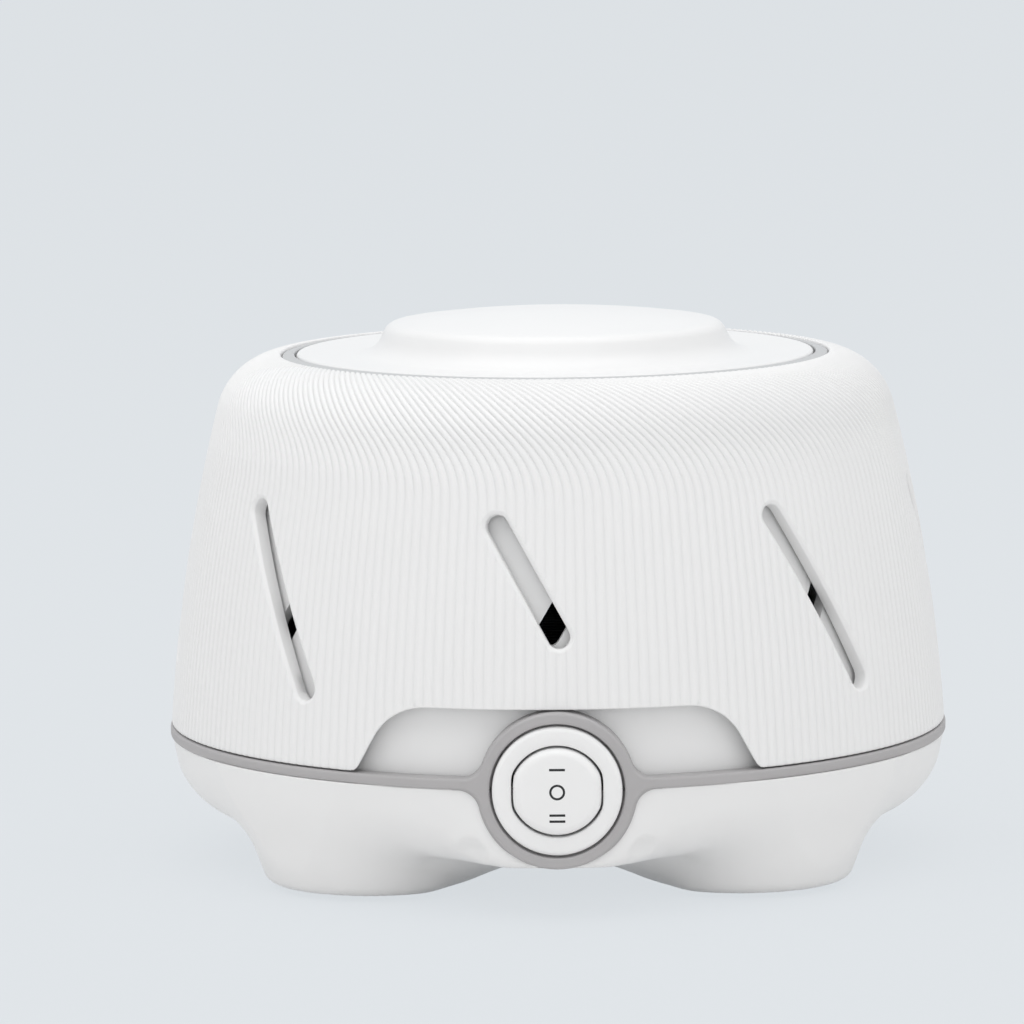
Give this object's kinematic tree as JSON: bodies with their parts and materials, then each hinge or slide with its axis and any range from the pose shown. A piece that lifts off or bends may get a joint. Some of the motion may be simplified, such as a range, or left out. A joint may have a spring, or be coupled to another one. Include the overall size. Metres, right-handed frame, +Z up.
{
  "type": "white noise sound machine",
  "caption": "Round tabletop fan sound machine with a ribbed twist collar, slanted sound slots, domed twist cap, grey trim and a front rocker switch.",
  "frame": {"origin": "on the resting plane, on the vertical axis of the collar and cap", "axes": "+Z up; -Y towards the front, where the rocker switch is; +X to the viewer's right when facing the switch"},
  "size_m": [0.1428, 0.146, 0.1008],
  "materials": {
    "base": "fine matt texture",
    "bearing": "sintered bronze",
    "bracket": "zinc plated",
    "cap": "smooth satin",
    "ring": "soft matt",
    "screw_steel": "zinc plated",
    "shutter": "matt",
    "washer_steel": "zinc plated",
    "bobbin": "natural nylon",
    "winding": "enamelled copper wire",
    "collar": "fine ribs, satin",
    "gland": "matt",
    "clip": "spring steel",
    "fan": "matt",
    "pad": "matt",
    "grommet": "matt",
    "housing": "matt",
    "lead_black": "matt",
    "lead_red": "matt",
    "lead_white": "matt",
    "lead_blue": "matt",
    "nut_steel": "zinc plated",
    "plate": "zinc grey",
    "shaft": "ground",
    "rocker": "satin with printed marks",
    "rotor": "turned",
    "sleeve": "turned",
    "lamination": "oiled laminations",
    "bezel": "satin",
    "switch_black": "matt",
    "terminal": "plain",
    "fuse": "satin",
    "thrust": "plain",
    "trim": "soft matt"
  },
  "bodies": {
    "base": {"base_shell": "base", "bearing_lower": "bearing", "bearing_upper": "bearing", "bracket_lower": "bracket", "bracket_upper": "bracket", "cap_ring": "ring", "coil_bobbin": "bobbin", "coil_winding": "winding", "cord_gland": "gland", "foot_pad_1": "pad", "foot_pad_2": "pad", "foot_pad_3": "pad", "foot_pad_4": "pad", "grommet_1": "grommet", "grommet_2": "grommet", "grommet_3": "grommet", "grommet_4": "grommet", "housing_screw_1": "screw_steel", "housing_screw_2": "screw_steel", "housing_screw_3": "screw_steel", "housing_screw_4": "screw_steel", "inner_housing": "housing", "lead_common": "lead_black", "lead_high": "lead_red", "lead_low": "lead_white", "lead_neutral": "lead_blue", "motor_nut_1": "nut_steel", "motor_nut_2": "nut_steel", "motor_nut_3": "nut_steel", "motor_nut_4": "nut_steel", "motor_plate": "plate", "motor_screw_1": "screw_steel", "motor_screw_2": "screw_steel", "motor_screw_3": "screw_steel", "motor_screw_4": "screw_steel", "port_deck": "housing", "spacer_sleeve_1": "sleeve", "spacer_sleeve_2": "sleeve", "spacer_sleeve_3": "sleeve", "spacer_sleeve_4": "sleeve", "stator_stack": "lamination", "switch_bezel": "bezel", "switch_body": "switch_black", "switch_terminal_1": "terminal", "switch_terminal_2": "terminal", "switch_terminal_3": "terminal", "thermal_fuse": "fuse", "trim_gasket": "trim"},
    "collar": {"collar": "collar"},
    "cap": {"cap": "cap", "cap_shutter": "shutter", "cap_washer": "washer_steel", "cap_screw": "screw_steel"},
    "rocker": {"rocker_button": "rocker"},
    "rotor": {"motor_shaft": "shaft", "rotor_core": "rotor", "thrust_washer_lower": "thrust", "thrust_washer_upper": "thrust", "fan_wheel": "fan", "fan_clip": "clip"}
  },
  "joints": [
    {"name": "collar_turn", "type": "hinge", "parent": "base", "child": "collar", "pos_m": [0, 0, 0.025], "axis": [0, 0, 1], "range_deg": [-18, 18]},
    {"name": "cap_turn", "type": "hinge", "parent": "base", "child": "cap", "pos_m": [0, 0, 0.087], "axis": [0, 0, 1], "range_deg": [-22.5, 22.5]},
    {"name": "rocker_tilt", "type": "hinge", "parent": "base", "child": "rocker", "pos_m": [0, -0.0686, 0.0229], "axis": [1, 0, 0], "range_deg": [-7, 7]},
    {"name": "fan_spin", "type": "hinge", "parent": "base", "child": "rotor", "pos_m": [0, 0, 0.049], "axis": [0, 0, 1], "continuous": true}
  ]
}
